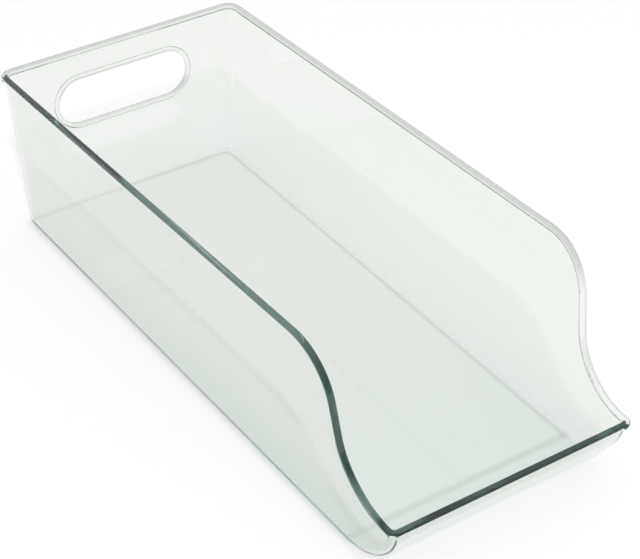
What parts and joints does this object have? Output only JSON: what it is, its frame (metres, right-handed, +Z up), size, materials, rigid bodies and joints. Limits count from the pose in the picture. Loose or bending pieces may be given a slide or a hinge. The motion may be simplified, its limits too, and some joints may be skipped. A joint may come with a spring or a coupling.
{
  "type": "fridge can organizer",
  "caption": "Clear tinted open bin for drink cans in a fridge, with tall drafted walls, a scooped front with a low rolled lip, a beaded rim and a handle slot in the back wall.",
  "frame": {"origin": "centre of the footprint, on the plane that the bin stands on", "axes": "+X to the right across the width seen from the front, -Y out of the scooped front, +Y out of the handle wall, +Z up"},
  "size_m": [0.1484, 0.3497, 0.1019],
  "materials": {
    "clear_plastic": "clear, faintly green tinted moulded plastic, glossy, darker green along the rim"
  },
  "bodies": {
    "root": {"organizer_bin": "clear_plastic"}
  },
  "joints": []
}
